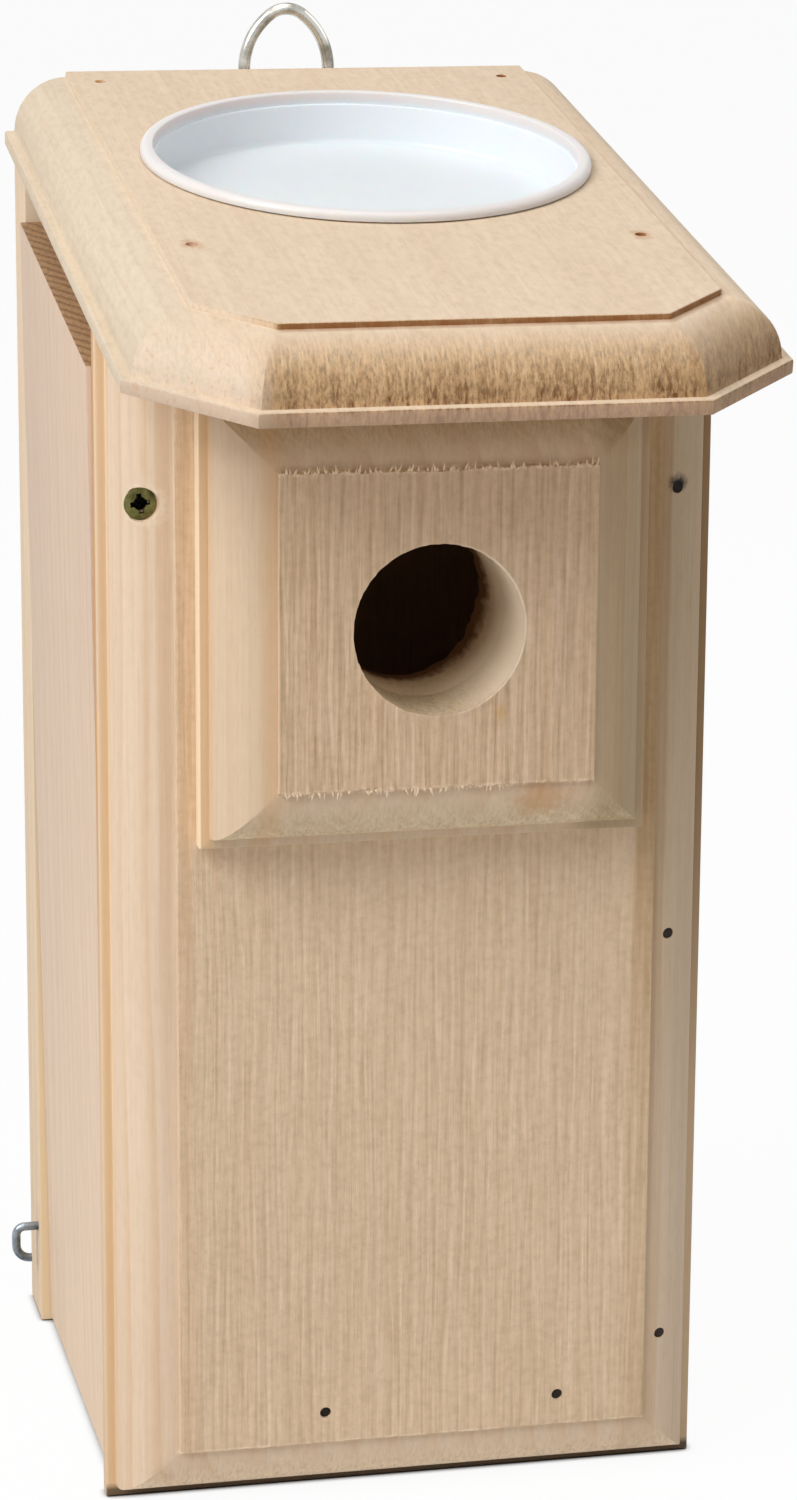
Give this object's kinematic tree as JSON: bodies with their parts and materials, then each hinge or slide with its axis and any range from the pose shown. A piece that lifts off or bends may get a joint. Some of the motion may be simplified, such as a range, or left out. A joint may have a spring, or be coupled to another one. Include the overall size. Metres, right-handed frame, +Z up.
{
  "type": "bluebird nest box",
  "caption": "Wooden nest box with a routed front, a round entrance through a thick guard block, a sloping roof with a lift-out feeder dish, a side clean-out door and a wire hanger.",
  "frame": {"origin": "on the rear face of the back board, in the middle of its width and 150 mm over its bottom edge", "axes": "+Z up, +Y backward towards the wall or post, the entrance faces -Y, +X to the right as seen from the front"},
  "size_m": [0.1491, 0.2135, 0.3326],
  "materials": {
    "front_board": "rough-sawn face, planed edges",
    "hole_guard": "rough-sawn face",
    "back_board": "planed",
    "side_panel": "planed",
    "floor_board": "planed",
    "roof_board": "planed",
    "door_panel": "planed",
    "dish": "smooth white moulding",
    "hanger_wire": "bright galvanised wire",
    "hanger_screws": "zinc plated",
    "pivot_screws": "yellow-passivated, dull",
    "latch_hook": "bright plated wire",
    "nails": "dull steel brads"
  },
  "bodies": {
    "box": {"front_board": "front_board", "hole_guard": "hole_guard", "back_board": "back_board", "side_panel": "side_panel", "floor_board": "floor_board", "roof_board": "roof_board", "hanger_wire": "hanger_wire", "hanger_screws": "hanger_screws", "front_side_nails": "nails", "front_floor_nails": "nails", "back_side_nails": "nails", "back_floor_nails": "nails", "side_floor_nails": "nails", "roof_front_nails": "nails", "roof_back_nails": "nails"},
    "door": {"door_panel": "door_panel", "pivot_screw_front": "pivot_screws", "pivot_screw_rear": "pivot_screws"},
    "dish": {"feeder_dish": "dish"},
    "latch": {"latch_hook": "latch_hook"}
  },
  "joints": [
    {"name": "door_swing", "type": "hinge", "parent": "box", "child": "door", "pos_m": [-0.0616, -0.07275, 0.086], "axis": [0, 1, 0], "range_deg": [0, 150]},
    {"name": "latch_turn", "type": "hinge", "parent": "box", "child": "latch", "pos_m": [-0.07, -0.0145, -0.1259], "axis": [-1, 0, 0], "range_deg": [0, 90]},
    {"name": "dish_lift", "type": "slide", "parent": "box", "child": "dish", "axis": [0, -0.1693, 0.9856], "range_m": [0, 0.06]}
  ]
}
